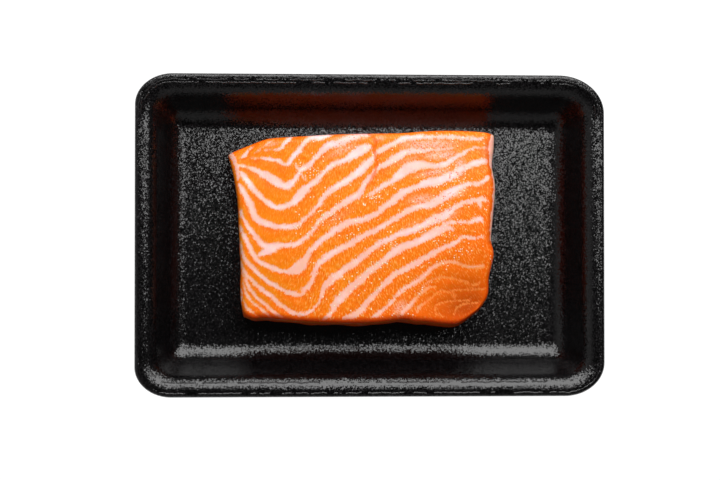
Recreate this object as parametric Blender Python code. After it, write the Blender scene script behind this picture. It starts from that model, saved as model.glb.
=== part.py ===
"""A block of salmon fillet on a black foam tray.

Metres, +Z up. The origin is the centre of the tray's underside, +X runs along the tray and +Y to its back.
"""

import math

import bmesh
import bpy
from mathutils import Matrix, Vector
from mathutils.kdtree import KDTree

# The tray: a shallow rounded rectangle with a rolled lip, pressed from one sheet of foam.
TRAY_LENGTH = 0.210
TRAY_WIDTH = 0.144
TRAY_HEIGHT = 0.025
TRAY_CORNERS = (0.0172, 0.0140, 0.0136, 0.0150)
CORNER_STRETCH = 1.2
CORNER_FADE = 0.0145
CORNER_STEPS = 10
FOAM = 0.0030
CREST_INSET = 0.0026
WALL_TOP_INSET = 0.0082
WALL_FOOT_INSET = 0.0166
END_LEAN = 0.96
CREST_OVERSHOOT = 0.0003
CREST_ROUND = 0.0080
FLOOR_ROUND = 0.0095
LIP_HEIGHT = 0.0248
LIP_THICKNESS = 0.0038

# The fillet: its flat side is down and its cut face is up.
FILLET_THICKNESS = 0.0220
REST_GAP = 0.0003
EDGE_ROUND = 0.0032
FOOT_ROUND = 0.0014
FACE_CELLS_X = 62
FACE_CELLS_Y = 46
WALL_ROWS = 5
EDGE_CROWDING = 0.4

# The corners and turns of the cut face's edges, each from left to right or from front to back.
BACK_EDGE = [
    (-0.0638, 0.0362), (-0.0605, 0.0378), (-0.0570, 0.0392), (-0.0487, 0.0423), (-0.0443, 0.0433),
    (-0.0353, 0.0439), (-0.0175, 0.0450), (0.0000, 0.0455), (0.0137, 0.0458), (0.0240, 0.0466),
    (0.0360, 0.0470), (0.0494, 0.0466), (0.0556, 0.0454),
]
RIGHT_EDGE = [
    (0.0489, -0.0334), (0.0528, -0.0270), (0.0533, -0.0185), (0.0552, -0.0086), (0.0540, -0.0020), (0.0546, 0.0070),
    (0.0558, 0.0215), (0.0545, 0.0310), (0.0554, 0.0400), (0.0556, 0.0454),
]
FRONT_EDGE = [
    (-0.0564, -0.0362), (-0.0520, -0.0373), (-0.0470, -0.0370), (-0.0310, -0.0384), (-0.0150, -0.0391),
    (0.0010, -0.0390), (0.0140, -0.0377), (0.0200, -0.0385), (0.0260, -0.0389), (0.0360, -0.0400),
    (0.0412, -0.0388), (0.0489, -0.0334),
]
LEFT_EDGE = [
    (-0.0564, -0.0362), (-0.0580, -0.0300), (-0.0583, -0.0220), (-0.0581, -0.0150), (-0.0586, -0.0030),
    (-0.0590, 0.0040), (-0.0594, 0.0140), (-0.0603, 0.0210), (-0.0616, 0.0275), (-0.0638, 0.0362),
]

# How far the foot of each side stands out past the cut face.
BACK_FLARE = 0.0004
RIGHT_FLARE = 0.0014
FRONT_FLARE = 0.0019
LEFT_FLARE = 0.0004

# Broad swells and dips of the cut face: centre, reach and rise.
SWELLS = [
    ((0.006, 0.012), 0.034, 0.0012),
    ((0.050, -0.036), 0.021, -0.0050),
    ((-0.063, 0.038), 0.013, -0.0045),
    ((-0.056, -0.034), 0.018, -0.0022),
    ((0.056, 0.046), 0.016, -0.0016),
]

# The flakes of the flesh meet in shallow grooves. Each guide is one such line from its left end to its right
# end, and the number after it says how many flakes lie between it and the next guide.
FLAKE_GUIDES = [
    ([(-0.0560, 0.0345), (-0.0450, 0.0337), (-0.0385, 0.0313), (-0.0347, 0.0349),
      (-0.0302, 0.0406), (-0.0253, 0.0439), (-0.0196, 0.0450)], 3),
    ([(-0.0583, 0.0215), (-0.0526, 0.0105), (-0.0420, 0.0034), (-0.0302, 0.0071),
      (-0.0150, 0.0219), (0.0110, 0.0412), (0.0510, 0.0436)], 2),
    ([(-0.0583, 0.0026), (-0.0505, -0.0112), (-0.0350, -0.0164), (-0.0253, -0.0051),
      (0.0026, 0.0100), (0.0220, 0.0224), (0.0523, 0.0335)], 2),
    ([(-0.0579, -0.0120), (-0.0477, -0.0250), (-0.0320, -0.0356), (-0.0208, -0.0234),
      (0.0020, -0.0050), (0.0240, 0.0050), (0.0510, 0.0160)], 2),
    ([(-0.0560, -0.0330), (-0.0420, -0.0430), (-0.0230, -0.0420), (-0.0060, -0.0335),
      (0.0100, -0.0170), (0.0307, -0.0059), (0.0490, -0.0002)], 1),
    ([(-0.0540, -0.0450), (-0.0350, -0.0480), (-0.0120, -0.0440), (0.0042, -0.0340),
      (0.0148, -0.0234), (0.0311, -0.0124), (0.0502, -0.0136)], 0),
]
GROOVE_DEPTH = 0.00045
GROOVE_REACH = 0.0016
SEAM = [(-0.0014, 0.0458), (0.0019, 0.0406), (0.0010, 0.0374), (0.0019, 0.0310), (-0.0010, 0.0223), (-0.0056, 0.0161)]
SEAM_DEPTH = 0.0008
SEAM_REACH = 0.0014
LINE_STEPS = 70


def clear_scene():
    for old in list(bpy.data.objects):
        bpy.data.objects.remove(old, do_unlink=True)


def material(name, colour, roughness):
    made = bpy.data.materials.new(name)
    made.use_nodes = True
    shader = made.node_tree.nodes["Principled BSDF"]
    shader.inputs["Base Color"].default_value = (*colour, 1.0)
    shader.inputs["Roughness"].default_value = roughness
    shader.inputs["Metallic"].default_value = 0.0
    return made


def add_object(name, shape, skin):
    """A new object from a finished bmesh, smooth apart from its sharp edges."""
    bmesh.ops.recalc_face_normals(shape, faces=shape.faces)
    mesh = bpy.data.meshes.new(name)
    shape.to_mesh(mesh)
    shape.free()
    mesh.shade_smooth()
    mesh.set_sharp_from_angle(angle=math.radians(40))
    mesh.materials.append(skin)
    made = bpy.data.objects.new(name, mesh)
    bpy.context.scene.collection.objects.link(made)
    return made


def rounded_turn(before, corner, after, radius, steps):
    """Points of the arc that rounds one corner of a polyline."""
    into = (before - corner).normalized()
    out = (after - corner).normalized()
    half = into.angle(out) / 2
    reach = radius / math.tan(half)
    centre = corner + (into + out).normalized() * (radius / math.sin(half))
    first = corner + into * reach - centre
    last = corner + out * reach - centre
    swing = first.angle_signed(last)
    points = []
    for step in range(steps + 1):
        turned = first.copy()
        turned.rotate(Matrix.Rotation(-swing * step / steps, 2))
        points.append(centre + turned)
    return points


def tray_section():
    """The foam's cut section from the middle of the underside, round the lip, to the middle of the floor.

    Each point is (inset from the tray's outer edge, height).
    """
    lean = (WALL_FOOT_INSET - WALL_TOP_INSET) / (TRAY_HEIGHT - FOAM)
    skin = FOAM * math.sqrt(1 + lean * lean)
    middle = TRAY_WIDTH / 2
    under_lip = LIP_HEIGHT - LIP_THICKNESS

    def outer_wall(height):
        return WALL_TOP_INSET + (TRAY_HEIGHT - height) * lean - skin

    turns = [
        (Vector((outer_wall(0.0), 0.0)), 0.0055, 4),
        (Vector((outer_wall(under_lip), under_lip)), 0.0012, 2),
        (Vector((0.0, under_lip - 0.0006)), 0.0009, 2),
        (Vector((0.0, LIP_HEIGHT)), 0.0015, 3),
        (Vector((WALL_TOP_INSET, TRAY_HEIGHT + CREST_OVERSHOOT)), CREST_ROUND, 9),
        (Vector((WALL_FOOT_INSET, FOAM)), FLOOR_ROUND, 8),
    ]
    ends = [Vector((middle, 0.0)), *[turn[0] for turn in turns], Vector((middle, FOAM))]
    points = []
    for index, (corner, radius, steps) in enumerate(turns):
        points += rounded_turn(ends[index], corner, ends[index + 2], radius, steps)
    return points


def tray_loop(inset, height):
    """One level line of the tray: a rounded rectangle, whose corners tighten towards the floor.

    The two end walls are a little steeper than the long ones.
    """
    past_crest = max(0.0, inset - CREST_INSET)
    half_x = TRAY_LENGTH / 2 - inset + past_crest * (1 - END_LEAN)
    half_y = TRAY_WIDTH / 2 - inset
    points = []
    for quarter, (side_x, side_y) in enumerate(((1, 1), (-1, 1), (-1, -1), (1, -1))):
        radius = TRAY_CORNERS[quarter] * math.exp(-inset / CORNER_FADE)
        long_radius = radius * CORNER_STRETCH
        centre = Vector((side_x * (half_x - long_radius), side_y * (half_y - radius), height))
        for step in range(CORNER_STEPS + 1):
            angle = math.radians(90) * (quarter + step / CORNER_STEPS)
            points.append(centre + Vector((long_radius * math.cos(angle), radius * math.sin(angle), 0.0)))
    return points


def skin_rings(shape, rings):
    """Joins each ring of vertices to the next with quads."""
    for lower, upper in zip(rings, rings[1:]):
        count = len(lower)
        for index in range(count):
            after = (index + 1) % count
            shape.faces.new((lower[index], lower[after], upper[after], upper[index]))


def make_tray(skin):
    shape = bmesh.new()
    rings = [[shape.verts.new(point) for point in tray_loop(*spot)] for spot in tray_section()]
    skin_rings(shape, rings)
    shape.faces.new(rings[0])
    shape.faces.new(rings[-1])
    return add_object("tray", shape, skin)


def crowded(count):
    """Steps from 0 to 1 that lie closer together towards both ends."""
    places = [index / count for index in range(count + 1)]
    return [t - EDGE_CROWDING * math.sin(2 * math.pi * t) / (2 * math.pi) for t in places]


def along(points, places):
    """Points at these shares of the length of a smooth curve through the given points."""
    knots = [Vector(point) for point in points]
    knots = [2 * knots[0] - knots[1], *knots, 2 * knots[-1] - knots[-2]]
    fine = []
    for a, b, c, d in zip(knots, knots[1:], knots[2:], knots[3:]):
        for step in range(16):
            t = step / 16
            fine.append(
                0.5 * (2 * b + (c - a) * t + (2 * a - 5 * b + 4 * c - d) * t**2 + (3 * b - a - 3 * c + d) * t**3)
            )
    fine.append(knots[-2])
    lengths = [0.0]
    for here, there in zip(fine, fine[1:]):
        lengths.append(lengths[-1] + (there - here).length)
    found = []
    spot = 0
    for place in places:
        goal = place * lengths[-1]
        while spot < len(fine) - 2 and lengths[spot + 1] < goal:
            spot += 1
        span = lengths[spot + 1] - lengths[spot]
        found.append(fine[spot].lerp(fine[spot + 1], min(1.0, (goal - lengths[spot]) / span)))
    return found


def sheet_between(back, right, front, left):
    """Rows of points, front to back, of the flat sheet that fills the four edges."""
    nx, ny = len(back) - 1, len(left) - 1
    us, vs = crowded(nx), crowded(ny)
    rows = []
    for j, v in enumerate(vs):
        row = []
        for i, u in enumerate(us):
            across = front[i].lerp(back[i], v) + left[j].lerp(right[j], u)
            corners = front[0].lerp(front[-1], u).lerp(back[0].lerp(back[-1], u), v)
            row.append(across - corners)
        rows.append(row)
    return rows


def edge_drop(distance):
    """How far the rounded edge of the cut face has fallen, this far in from the side."""
    if distance >= EDGE_ROUND:
        return 0.0
    short = 1 - distance / EDGE_ROUND
    return EDGE_ROUND * (1 - math.sqrt(1 - short * short))


def flake_lines():
    """Points along every line where two flakes meet: the guides, and lines blended between them."""
    steps = [step / LINE_STEPS for step in range(LINE_STEPS + 1)]
    points = []
    for (guide, flakes), (beyond, _) in zip(FLAKE_GUIDES, FLAKE_GUIDES[1:]):
        for flake in range(flakes):
            share = flake / flakes
            blended = [Vector(a).lerp(Vector(b), share) for a, b in zip(guide, beyond)]
            points += along(blended, steps)
    points += along(FLAKE_GUIDES[-1][0], steps)
    return points


def near_map(points):
    """A lookup tree of plane points."""
    tree = KDTree(len(points))
    for index, point in enumerate(points):
        tree.insert(point.to_3d(), index)
    tree.balance()
    return tree


def groove(tree, point, depth, reach):
    """How deep a groove that runs through the tree's points is at this point."""
    distance = tree.find(point.to_3d())[2]
    return depth * math.exp(-((distance / reach) ** 2))


def face_height(point, edges, flakes, seam):
    """Height of the cut face over the fillet's foot."""
    height = FILLET_THICKNESS
    for centre, reach, rise in SWELLS:
        height += rise * math.exp(-((point - Vector(centre)).length / reach) ** 2)
    height -= groove(flakes, point, GROOVE_DEPTH, GROOVE_REACH)
    height -= groove(seam, point, SEAM_DEPTH, SEAM_REACH)
    return height - sum(edge_drop(distance) for distance in edges)


def make_fillet(skin):
    us, vs = crowded(FACE_CELLS_X), crowded(FACE_CELLS_Y)
    back, front = along(BACK_EDGE, us), along(FRONT_EDGE, us)
    left, right = along(LEFT_EDGE, vs), along(RIGHT_EDGE, vs)
    rows = sheet_between(back, right, front, left)
    foot_height = FOAM + REST_GAP
    flakes = near_map(flake_lines())
    seam = near_map(along(SEAM, [step / LINE_STEPS for step in range(LINE_STEPS + 1)]))
    shape = bmesh.new()
    face = []
    for j, row in enumerate(rows):
        line = []
        for i, point in enumerate(row):
            edges = (
                (point - left[j]).length,
                (point - right[j]).length,
                (point - front[i]).length,
                (point - back[i]).length,
            )
            height = foot_height + face_height(point, edges, flakes, seam)
            line.append(shape.verts.new((point.x, point.y, height)))
        face.append(line)
    for j in range(FACE_CELLS_Y):
        for i in range(FACE_CELLS_X):
            shape.faces.new((face[j][i], face[j][i + 1], face[j + 1][i + 1], face[j + 1][i]))
    skirt(shape, face, foot_height)
    return add_object("salmon", shape, skin)


def rim_of(face):
    """The border vertices of the cut face, round from the front left, with each one's flare."""
    front, back = face[0], face[-1]
    nx, ny = len(front) - 1, len(face) - 1
    rim = [(front[i], FRONT_FLARE) for i in range(nx)]
    rim += [(face[j][-1], RIGHT_FLARE) for j in range(ny)]
    rim += [(back[i], BACK_FLARE) for i in range(nx, 0, -1)]
    rim += [(face[j][0], LEFT_FLARE) for j in range(ny, 0, -1)]
    return rim


def skirt(shape, face, foot_height):
    """The fillet's sides and its flat foot."""
    rim = rim_of(face)
    count = len(rim)
    smooth_flare = [
        sum(rim[(index + step) % count][1] for step in range(-4, 5)) / 9 for index in range(count)
    ]
    rings = [[vertex for vertex, _ in rim]]
    for row in range(1, WALL_ROWS + 1):
        share = row / WALL_ROWS
        ring = []
        for index, (vertex, _) in enumerate(rim):
            before, after = rim[index - 1][0].co, rim[(index + 1) % count][0].co
            run = (after - before).xy.normalized()
            outward = Vector((run.y, -run.x))
            tuck = FOOT_ROUND * max(0.0, share - (1 - 1 / WALL_ROWS)) * WALL_ROWS
            out = smooth_flare[index] * math.sin(share * math.pi / 2) - tuck
            place = vertex.co.xy + outward * out
            top = vertex.co.z
            fall = 1 - (1 - share) ** 1.15
            height = top + (foot_height - top) * fall
            ring.append(shape.verts.new((place.x, place.y, height)))
        rings.append(ring)
    skin_rings(shape, rings)
    shape.faces.new(rings[-1])


def main():
    clear_scene()
    make_tray(material("black_foam", (0.012, 0.011, 0.012), 0.42))
    make_fillet(material("salmon_flesh", (0.95, 0.22, 0.02), 0.35))


main()
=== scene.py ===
"""The looks of a block of salmon fillet on a black foam tray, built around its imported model.

Metres, +Z up. The marbling is drawn in millimetres from the tray's centre, +Y to the back.
"""

import math

import bpy
import numpy as np
from mathutils import Matrix, Vector, kdtree


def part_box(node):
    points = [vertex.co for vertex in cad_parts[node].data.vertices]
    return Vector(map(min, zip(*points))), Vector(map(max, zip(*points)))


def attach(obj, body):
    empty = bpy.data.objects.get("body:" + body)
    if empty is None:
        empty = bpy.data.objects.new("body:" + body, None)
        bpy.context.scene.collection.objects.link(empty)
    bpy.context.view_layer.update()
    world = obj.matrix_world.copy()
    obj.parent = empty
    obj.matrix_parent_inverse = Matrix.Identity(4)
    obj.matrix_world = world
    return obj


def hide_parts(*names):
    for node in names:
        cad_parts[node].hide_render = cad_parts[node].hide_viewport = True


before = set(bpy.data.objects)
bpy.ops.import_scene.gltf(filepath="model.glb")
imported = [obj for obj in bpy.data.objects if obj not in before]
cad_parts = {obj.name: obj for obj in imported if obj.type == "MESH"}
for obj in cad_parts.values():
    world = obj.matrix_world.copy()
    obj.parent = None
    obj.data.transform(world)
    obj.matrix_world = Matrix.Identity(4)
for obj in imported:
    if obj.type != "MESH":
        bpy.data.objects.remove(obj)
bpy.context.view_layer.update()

TRAY_LOW, TRAY_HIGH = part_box("tray")
FISH_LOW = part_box("salmon")[0]
MM = 0.001

# The tray's section, as in the solid.
TRAY_LENGTH = TRAY_HIGH.x - TRAY_LOW.x
TRAY_WIDTH = TRAY_HIGH.y - TRAY_LOW.y
TRAY_HEIGHT = TRAY_HIGH.z - TRAY_LOW.z
TRAY_CORNERS = (0.0172, 0.0140, 0.0136, 0.0150)
CORNER_STRETCH = 1.2
CORNER_FADE = 0.0145
FOAM = 0.0030
CREST_INSET = 0.0026
WALL_TOP_INSET = 0.0082
WALL_FOOT_INSET = 0.0166
END_LEAN = 0.96
CREST_OVERSHOOT = 0.0003
CREST_ROUND = 0.0080
FLOOR_ROUND = 0.0095
LIP_HEIGHT = 0.0248
LIP_THICKNESS = 0.0038
LIP_DROOP = 0.0006
FLOOR_CAP = 0.002
TRAY_CORNER_STEPS = 22
TRAY_STRAIGHT_STEP = 0.0022
TRAY_WALL_STEP = 0.0008
TRAY_FLOOR_RINGS = 26

# The fillet's form, as in the solid.
FILLET_THICKNESS = 0.0220
EDGE_ROUND = 0.0032
FOOT_ROUND = 0.0014
FOOT_START = 0.8
FACE_CELLS_X = 232
FACE_CELLS_Y = 172
WALL_ROWS = 34
EDGE_CROWDING = 0.4
SIDE_CROWDING = 1.15
OUTLINE_STEP = 0.0002
BACK_EDGE = [
    (-0.0638, 0.0362), (-0.0605, 0.0378), (-0.0570, 0.0392), (-0.0487, 0.0423), (-0.0443, 0.0433),
    (-0.0353, 0.0439), (-0.0175, 0.0450), (0.0000, 0.0455), (0.0137, 0.0458), (0.0240, 0.0466),
    (0.0360, 0.0470), (0.0494, 0.0466), (0.0556, 0.0454),
]
RIGHT_EDGE = [
    (0.0489, -0.0334), (0.0528, -0.0270), (0.0533, -0.0185), (0.0552, -0.0086), (0.0540, -0.0020),
    (0.0546, 0.0070), (0.0558, 0.0215), (0.0545, 0.0310), (0.0554, 0.0400), (0.0556, 0.0454),
]
FRONT_EDGE = [
    (-0.0564, -0.0362), (-0.0520, -0.0373), (-0.0470, -0.0370), (-0.0310, -0.0384), (-0.0150, -0.0391),
    (0.0010, -0.0390), (0.0140, -0.0377), (0.0200, -0.0385), (0.0260, -0.0389), (0.0360, -0.0400),
    (0.0412, -0.0388), (0.0489, -0.0334),
]
LEFT_EDGE = [
    (-0.0564, -0.0362), (-0.0580, -0.0300), (-0.0583, -0.0220), (-0.0581, -0.0150), (-0.0586, -0.0030),
    (-0.0590, 0.0040), (-0.0594, 0.0140), (-0.0603, 0.0210), (-0.0616, 0.0275), (-0.0638, 0.0362),
]
BACK_FLARE = 0.0004
RIGHT_FLARE = 0.0014
FRONT_FLARE = 0.0019
LEFT_FLARE = 0.0004

# Where the cut face swells or sinks, in metres: centre, reach, rise.
SWELLS = [
    ((0.006, 0.012), 0.034, 0.0012),
    ((0.050, -0.036), 0.021, -0.0050),
    ((-0.063, 0.038), 0.013, -0.0045),
    ((-0.056, -0.034), 0.018, -0.0022),
    ((0.056, 0.046), 0.016, -0.0016),
]

# Grooves in metres, with how far they fade out beside the fat in millimetres, and the ripple of the cut.
FACE_GROOVE, FACE_GROOVE_FADE = 0.00020, 1.7
SIDE_GROOVE, SIDE_GROOVE_FADE = 0.00030, 1.4
SEAM_GROOVE = 0.0006
LONG_RIPPLE = 0.00010
SHORT_RIPPLE = 0.00005
SIDE_BULGE = 0.0003

# The fat lines of the cut face, each from its left end to its right end, in millimetres: x, y, half width.
FAT_LINES = {
    "tip": [(-57.5, 34.8, 0.5), (-56.3, 35.6, 0.8), (-54.8, 37.5, 0.5), (-52.4, 39.6, 0.2)],
    "tip_inner": [(-52.0, 36.4, 0.15), (-48.9, 38.7, 0.25), (-45.6, 41.0, 0.25), (-43.5, 42.4, 0.1)],
    "b": [
        (-49.5, 37.6, 0.1), (-46.0, 37.8, 0.25), (-42.6, 37.9, 0.35), (-40.2, 38.9, 0.5),
        (-38.5, 40.8, 1.0), (-37.0, 42.2, 1.1), (-35.8, 43.6, 0.8),
    ],
    "c": [
        (-53.5, 34.3, 0.2), (-48.5, 34.2, 0.5), (-44.0, 33.5, 0.8), (-41.2, 32.9, 0.8),
        (-39.2, 31.6, 0.7), (-37.0, 31.7, 1.0), (-34.7, 34.9, 1.2), (-32.2, 37.8, 1.0),
        (-30.2, 40.6, 1.0), (-28.1, 42.7, 1.1), (-25.3, 43.9, 1.5), (-22.0, 44.1, 1.5),
        (-18.8, 44.6, 0.8),
    ],
    "d": [
        (-58.5, 31.0, 0.5), (-55.0, 30.1, 0.7), (-50.9, 28.6, 1.0), (-48.1, 27.0, 1.6),
        (-44.4, 24.9, 1.9), (-41.6, 23.2, 1.9), (-39.1, 22.0, 1.5), (-36.7, 22.2, 1.6),
        (-34.4, 24.2, 1.2), (-32.4, 27.0, 0.8), (-31.2, 29.0, 1.1), (-28.1, 30.5, 1.0),
        (-26.1, 32.9, 0.8), (-23.7, 35.8, 0.8), (-20.8, 38.6, 1.2), (-18.4, 40.2, 1.5),
        (-14.7, 41.1, 1.5), (-10.2, 43.1, 1.4), (-5.7, 44.6, 1.2), (-1.5, 45.0, 0.7),
    ],
    "scratch": [
        (-34.0, 32.4, 0.2), (-33.0, 30.2, 0.35), (-31.9, 28.0, 0.45), (-30.4, 25.6, 0.3),
        (-29.4, 24.4, 0.15),
    ],
    "e": [
        (-57.8, 28.0, 0.8), (-57.0, 26.4, 1.0), (-55.0, 23.9, 1.3), (-52.6, 20.7, 1.2),
        (-49.7, 17.4, 1.1), (-46.9, 15.0, 1.1), (-44.0, 13.0, 1.1), (-41.6, 12.2, 1.1),
        (-37.9, 13.0, 1.1), (-34.2, 14.8, 1.6), (-31.6, 17.6, 1.9), (-29.4, 20.4, 1.7),
        (-26.9, 22.5, 1.2), (-23.7, 24.8, 0.9), (-21.6, 27.2, 0.8), (-19.6, 29.6, 1.0),
        (-16.7, 31.7, 1.1), (-13.1, 32.9, 1.1), (-9.8, 34.6, 1.3), (-6.5, 37.0, 2.0), (-3.0, 38.9, 1.8),
        (-0.5, 39.2, 0.8),
    ],
    "f": [
        (-58.6, 22.5, 0.6), (-58.0, 20.8, 1.0), (-56.2, 17.6, 1.2), (-54.2, 14.2, 1.4),
        (-52.8, 10.6, 1.4), (-51.2, 7.6, 1.5), (-48.3, 5.6, 1.4), (-44.0, 4.0, 1.2), (-39.5, 3.6, 1.1),
        (-35.1, 3.8, 1.1), (-32.2, 4.6, 1.0), (-30.0, 7.0, 0.9), (-27.3, 9.3, 0.6), (-25.3, 11.4, 0.6),
        (-22.8, 14.6, 0.8), (-20.8, 17.4, 0.9), (-18.8, 19.6, 1.0), (-15.1, 22.0, 1.1),
        (-11.0, 24.3, 1.3), (-7.0, 27.2, 1.6), (-4.1, 29.6, 1.6), (-1.7, 31.9, 1.6), (0.8, 34.6, 0.9),
    ],
    "g": [
        (-58.4, 11.5, 0.4), (-57.4, 8.6, 0.7), (-55.4, 4.7, 0.9), (-53.4, 1.6, 1.0), (-50.9, -1.6, 1.1),
        (-47.9, -4.4, 1.3), (-44.6, -5.2, 1.6), (-40.4, -4.5, 1.3), (-37.5, -4.4, 1.1),
        (-33.8, -4.3, 1.0), (-31.0, -2.4, 0.9), (-28.1, -0.2, 0.7), (-25.6, 2.5, 0.6), (-23.3, 6.3, 0.7),
        (-20.0, 9.0, 0.9), (-17.2, 10.9, 1.0), (-13.9, 13.2, 1.0), (-9.8, 15.9, 1.2), (-6.2, 17.9, 1.2),
        (-4.2, 20.8, 1.0), (-2.5, 24.0, 0.9), (0.6, 27.2, 0.8), (1.6, 28.2, 0.5),
    ],
    "g_patch": [(-50.2, -9.4, 0.4), (-48.2, -8.2, 1.3), (-45.8, -6.8, 2.1), (-43.2, -5.8, 1.5)],
    "h": [
        (-58.6, 4.0, 0.4), (-57.8, 1.6, 0.7), (-56.4, -0.8, 0.8), (-54.6, -4.7, 0.9), (-52.6, -8.8, 1.0),
        (-50.3, -11.3, 0.9), (-47.3, -13.3, 0.9), (-43.2, -14.9, 0.9), (-39.9, -16.1, 0.9),
        (-36.3, -16.3, 1.3), (-32.6, -14.6, 2.5), (-30.2, -12.0, 2.0), (-28.7, -9.6, 1.2),
        (-27.4, -7.3, 1.0), (-25.0, -4.9, 1.0), (-22.8, -2.7, 1.1), (-19.6, -0.2, 1.1),
        (-15.9, 2.4, 1.2), (-12.3, 4.6, 1.2), (-8.2, 6.3, 1.2), (-4.5, 7.0, 1.1), (-0.8, 8.3, 1.0),
        (2.6, 9.9, 0.9), (5.4, 12.6, 1.0), (9.0, 15.0, 1.3), (12.4, 17.8, 1.5), (16.4, 20.3, 1.2),
        (20.5, 21.5, 1.0), (24.0, 23.2, 1.6), (30.0, 24.6, 1.9), (36.0, 26.8, 1.7), (39.4, 29.0, 1.5),
        (43.0, 31.0, 1.2), (47.0, 32.6, 1.3), (51.5, 33.4, 0.9),
    ],
    "i": [
        (-58.5, -2.5, 0.35), (-58.0, -5.6, 0.5), (-57.2, -8.8, 0.6), (-55.6, -11.6, 0.8),
        (-53.6, -13.8, 0.9), (-50.9, -16.7, 0.9), (-46.9, -20.0, 0.9), (-43.2, -22.2, 0.9),
        (-39.9, -24.2, 0.8), (-36.7, -25.7, 0.9), (-33.8, -26.3, 1.0), (-31.6, -26.3, 0.8),
        (-29.3, -23.9, 0.9), (-26.7, -21.0, 0.9), (-25.3, -16.7, 0.9), (-23.8, -13.3, 1.0),
        (-20.4, -10.2, 1.2), (-17.6, -8.0, 1.2), (-13.9, -5.9, 1.1), (-9.0, -3.6, 1.1),
        (-4.0, -0.4, 1.0), (0.1, 1.6, 0.9), (5.0, 4.1, 0.9), (9.5, 6.9, 0.9), (13.2, 9.2, 1.0),
        (17.0, 11.4, 1.1), (21.3, 13.0, 1.1), (25.5, 13.6, 1.6), (30.0, 15.9, 1.9), (34.3, 18.4, 2.0),
        (38.8, 21.2, 1.3), (42.9, 22.9, 0.9), (47.5, 23.2, 0.8), (50.3, 24.4, 0.9), (52.2, 26.0, 0.7),
    ],
    "j": [
        (-58.0, -12.0, 0.35), (-57.6, -14.2, 0.5), (-56.3, -16.6, 0.7), (-53.9, -19.4, 0.8),
        (-50.9, -22.3, 0.8), (-47.7, -25.0, 0.9), (-44.4, -27.4, 0.9), (-41.6, -30.1, 0.8),
        (-38.3, -32.4, 0.8), (-35.1, -34.5, 0.9), (-31.8, -35.3, 0.9), (-28.5, -34.7, 0.8),
        (-26.1, -33.0, 0.6), (-23.7, -30.3, 0.4), (-22.2, -27.1, 0.5), (-20.9, -23.4, 1.0),
        (-18.6, -20.6, 1.5), (-15.6, -17.9, 1.4), (-11.9, -15.2, 1.3), (-7.8, -12.4, 1.2),
        (-3.9, -9.5, 1.1), (0.1, -6.2, 1.0), (4.2, -3.3, 1.0), (8.3, -1.4, 1.0), (11.5, 0.2, 1.0),
        (16.4, 1.8, 1.3), (20.5, 3.4, 1.3), (24.0, 5.0, 1.3), (28.0, 7.0, 1.7), (32.5, 8.8, 1.8),
        (36.0, 11.5, 1.3), (40.0, 14.0, 0.9), (44.9, 15.4, 0.9), (49.8, 15.9, 1.0), (51.6, 15.4, 0.4),
    ],
    "j_spur": [(48.2, 15.0, 0.8), (48.6, 13.6, 0.6), (48.9, 12.4, 0.3)],
    "k": [
        (-22.0, -37.9, 0.3), (-19.4, -36.2, 0.6), (-17.6, -33.6, 0.9), (-16.0, -30.2, 1.6),
        (-13.1, -27.1, 1.6), (-9.8, -24.2, 1.4), (-6.6, -21.2, 1.3), (-3.9, -18.7, 1.3),
        (0.1, -15.2, 1.2), (4.2, -12.1, 1.1), (8.0, -9.2, 1.2), (11.5, -6.5, 1.5), (16.4, -4.3, 1.3),
        (20.5, -2.8, 1.3), (23.7, -1.2, 1.5), (27.4, 1.0, 1.7), (31.0, 2.8, 1.7), (34.0, 3.6, 1.3),
        (36.5, 2.6, 0.6),
    ],
    "k_far": [
        (32.5, 5.0, 0.8), (35.5, 5.9, 0.6), (38.8, 6.0, 0.5), (43.7, 6.0, 0.5), (46.6, 6.9, 0.9),
        (48.4, 7.3, 1.2), (49.8, 6.6, 0.5),
    ],
    "l": [
        (-12.6, -36.8, 0.5), (-10.5, -36.5, 1.0), (-7.5, -35.4, 1.1), (-4.7, -33.3, 1.1),
        (-1.9, -30.0, 1.0), (1.4, -26.4, 0.8), (4.2, -23.4, 0.7), (7.5, -20.0, 1.0), (10.3, -17.4, 1.1),
        (14.0, -15.7, 1.0), (17.2, -14.0, 1.1), (21.3, -11.5, 1.2), (24.6, -9.9, 1.1), (27.4, -8.1, 1.1),
        (30.7, -6.1, 0.9), (34.7, -4.7, 0.9), (37.6, -3.2, 0.8), (40.0, -1.4, 0.7), (42.3, -0.6, 0.5),
        (44.9, -1.2, 0.5), (47.5, -1.0, 0.3), (50.5, -0.2, 0.3),
    ],
    "m": [
        (0.8, -36.2, 0.3), (2.4, -35.4, 0.9), (4.2, -34.0, 0.6), (7.9, -30.9, 0.5), (10.3, -28.3, 0.6),
        (12.4, -25.7, 0.6), (14.8, -23.6, 0.6), (18.5, -21.5, 0.9), (22.1, -19.3, 0.9),
        (24.6, -16.8, 0.8), (27.4, -14.4, 0.7), (31.1, -12.5, 0.6), (35.2, -11.7, 0.6),
        (39.2, -12.5, 0.6), (42.1, -13.9, 0.7), (46.0, -14.0, 0.8), (50.3, -13.6, 0.7),
    ],
    "n": [
        (12.4, -36.2, 0.2), (14.5, -33.5, 0.9), (17.2, -31.2, 0.9), (19.7, -28.3, 0.5),
        (22.5, -25.5, 0.6), (25.8, -23.2, 0.4), (28.6, -22.9, 0.3),
    ],
    "n_far": [
        (22.5, -23.3, 0.15), (24.2, -21.6, 0.3), (27.0, -20.0, 0.3), (30.3, -18.8, 0.3),
        (35.2, -19.0, 0.3), (39.6, -19.9, 0.25), (42.9, -21.0, 0.25), (44.9, -22.0, 0.3),
        (47.5, -21.8, 0.3), (49.0, -21.0, 0.2),
    ],
    "o": [
        (20.2, -34.4, 0.2), (21.0, -32.6, 0.6), (22.6, -31.0, 0.4), (24.8, -29.4, 0.3),
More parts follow.
